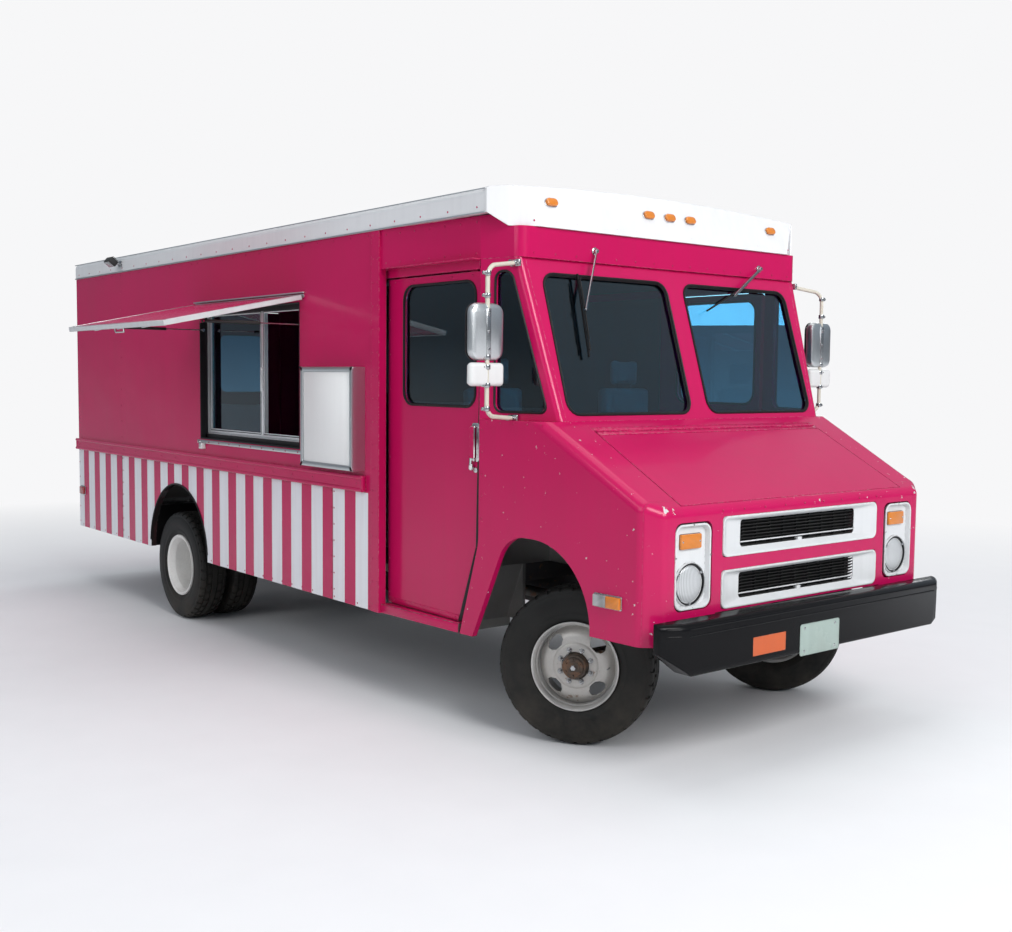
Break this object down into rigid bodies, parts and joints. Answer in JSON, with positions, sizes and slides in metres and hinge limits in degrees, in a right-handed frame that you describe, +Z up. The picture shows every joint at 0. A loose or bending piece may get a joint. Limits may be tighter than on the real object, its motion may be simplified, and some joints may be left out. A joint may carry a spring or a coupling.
{
  "type": "food truck",
  "caption": "Pink and white walk-in food truck on a step-van chassis, serving flap open, with sliding cab doors, hinged hood, steered front wheels and rear doors",
  "frame": {"origin": "On the ground, under the middle of the outline seen from above (mirrors on the driver's side to the open flap's edge on the other)", "axes": "+X to the front of the truck, +Y to the driver's side, +Z up"},
  "size_m": [7.07, 3.4538, 2.7803],
  "materials": {
    "body_paint": "satin",
    "white_paint": "satin",
    "chassis_paint": "satin",
    "black_steel": "gloss",
    "window_frame": "satin",
    "floor_plate": "satin",
    "tyre_rubber": "matte",
    "wheel_paint": "satin",
    "axle_iron": "rough",
    "polished_steel": "polished",
    "chrome_trim": "polished",
    "cab_plastic": "matte",
    "seat_fabric": "matte",
    "grille_plastic": "satin",
    "lamp_lens": "polished",
    "marker_lens": "gloss",
    "cab_glass": "polished"
  },
  "bodies": {
    "truck_body": {"chassis_frame": "chassis_paint", "floor": "floor_plate", "body_side_right": "body_paint", "body_side_left": "body_paint", "rear_frame": "body_paint", "roof": "white_paint", "front_cap": "white_paint", "cab_header": "body_paint", "quarter_panels": "body_paint", "windshield_frame": "body_paint", "window_glass": "cab_glass", "front_fenders": "body_paint", "cowl_panel": "body_paint", "nose_panel": "body_paint", "grilles": "grille_plastic", "headlamp_bezels": "grille_plastic", "headlamps": "lamp_lens", "front_bumper": "black_steel", "rear_step": "black_steel", "door_tracks": "window_frame", "service_window": "window_frame", "menu_case": "window_frame", "front_axle": "axle_iron", "rear_axle": "axle_iron", "leaf_springs": "axle_iron", "engine_block": "axle_iron", "exhaust_pipe": "polished_steel", "fuel_tank": "chassis_paint", "dashboard": "cab_plastic", "steering_column": "cab_plastic", "seats": "seat_fabric", "mirrors": "polished_steel", "wipers": "polished_steel", "marker_lamps": "marker_lens"},
    "knuckle_right": {"knuckle_right": "axle_iron"},
    "knuckle_left": {"knuckle_left": "axle_iron"},
    "tie_rod": {"tie_rod": "axle_iron"},
    "front_wheel_right": {"front_rim_right": "wheel_paint", "front_tyre_right": "tyre_rubber"},
    "front_wheel_left": {"front_rim_left": "wheel_paint", "front_tyre_left": "tyre_rubber"},
    "rear_wheels_right": {"rear_rims_right": "wheel_paint", "rear_tyres_right": "tyre_rubber"},
    "rear_wheels_left": {"rear_rims_left": "wheel_paint", "rear_tyres_left": "tyre_rubber"},
    "cab_door_right": {"cab_door_right": "body_paint", "cab_door_glass_right": "cab_glass"},
    "cab_door_left": {"cab_door_left": "body_paint", "cab_door_glass_left": "cab_glass"},
    "hood": {"hood": "body_paint"},
    "serving_flap": {"serving_flap": "body_paint"},
    "strut_tube_front": {"strut_tube_front": "black_steel"},
    "strut_rod_front": {"strut_rod_front": "chrome_trim"},
    "strut_tube_rear": {"strut_tube_rear": "black_steel"},
    "strut_rod_rear": {"strut_rod_rear": "chrome_trim"},
    "rear_door_right": {"rear_door_right": "body_paint", "rear_door_glass_right": "cab_glass"},
    "rear_door_left": {"rear_door_left": "body_paint", "rear_door_glass_left": "cab_glass"}
  },
  "joints": [
    {"name": "steer_right", "type": "hinge", "parent": "truck_body", "child": "knuckle_right", "pos_m": [2.625, -0.41313, 0.395], "axis": [0, 0, 1], "range_deg": [-72.5, 3.5]},
    {"name": "steer_left", "type": "hinge", "parent": "truck_body", "child": "knuckle_left", "pos_m": [2.625, 1.08687, 0.395], "axis": [0, 0, 1], "range_deg": [-72.5, 3.5]},
    {"name": "tie_rod_pivot", "type": "hinge", "parent": "knuckle_right", "child": "tie_rod", "pos_m": [2.52551, -0.48023, 0.3473], "axis": [0, 0, 1], "range_deg": [-3.5, 72.5]},
    {"name": "front_wheel_right_spin", "type": "hinge", "parent": "knuckle_right", "child": "front_wheel_right", "pos_m": [2.625, -0.41313, 0.395], "axis": [-0.5592, 0.829, 0], "continuous": true},
    {"name": "front_wheel_left_spin", "type": "hinge", "parent": "knuckle_left", "child": "front_wheel_left", "pos_m": [2.625, 1.08687, 0.395], "axis": [-0.5592, 0.829, 0], "continuous": true},
    {"name": "rear_wheels_right_spin", "type": "hinge", "parent": "truck_body", "child": "rear_wheels_right", "pos_m": [-1.363, -0.58063, 0.395], "axis": [0, 1, 0], "continuous": true},
    {"name": "rear_wheels_left_spin", "type": "hinge", "parent": "truck_body", "child": "rear_wheels_left", "pos_m": [-1.363, 1.25437, 0.395], "axis": [0, 1, 0], "continuous": true},
    {"name": "cab_door_right_slide", "type": "slide", "parent": "truck_body", "child": "cab_door_right", "axis": [-1, 0, 0], "range_m": [0, 0.76]},
    {"name": "cab_door_left_slide", "type": "slide", "parent": "truck_body", "child": "cab_door_left", "axis": [-1, 0, 0], "range_m": [0, 0.76]},
    {"name": "hood_hinge", "type": "hinge", "parent": "truck_body", "child": "hood", "pos_m": [2.803, 0.33687, 1.55641], "axis": [0, -1, 0], "range_deg": [0, 65]},
    {"name": "serving_flap_hinge", "type": "hinge", "parent": "truck_body", "child": "serving_flap", "pos_m": [-0.205, -0.84113, 2.27], "axis": [1, 0, 0], "range_deg": [0, 78]},
    {"name": "strut_front_pivot", "type": "hinge", "parent": "serving_flap", "child": "strut_tube_front", "pos_m": [0.484, -1.44888, 2.11833], "axis": [1, 0, 0], "range_deg": [-0.2, 11.6]},
    {"name": "strut_front_slide", "type": "slide", "parent": "strut_tube_front", "child": "strut_rod_front", "axis": [0, -1, 0], "range_m": [-0.002, 0.164]},
    {"name": "strut_rear_pivot", "type": "hinge", "parent": "serving_flap", "child": "strut_tube_rear", "pos_m": [-0.899, -1.44888, 2.11833], "axis": [1, 0, 0], "range_deg": [-0.2, 11.6]},
    {"name": "strut_rear_slide", "type": "slide", "parent": "strut_tube_rear", "child": "strut_rod_rear", "axis": [0, -1, 0], "range_m": [-0.002, 0.164]},
    {"name": "rear_door_right_hinge", "type": "hinge", "parent": "truck_body", "child": "rear_door_right", "pos_m": [-3.393, -0.42313, 1.5], "axis": [0, 0, 1], "range_deg": [0, 110]},
    {"name": "rear_door_left_hinge", "type": "hinge", "parent": "truck_body", "child": "rear_door_left", "pos_m": [-3.393, 1.09687, 1.5], "axis": [0, 0, -1], "range_deg": [0, 110]}
  ],
  "couplings": [
    {"joint": "steer_left", "follows": "steer_right", "ratio": 1},
    {"joint": "tie_rod_pivot", "follows": "steer_right", "ratio": -1},
    {"joint": "strut_front_pivot", "follows": "serving_flap_hinge", "ratio": 0.14455},
    {"joint": "strut_front_slide", "follows": "serving_flap_hinge", "m_per_rad": 0.11854},
    {"joint": "strut_rear_pivot", "follows": "serving_flap_hinge", "ratio": 0.14455},
    {"joint": "strut_rear_slide", "follows": "serving_flap_hinge", "m_per_rad": 0.11854}
  ]
}
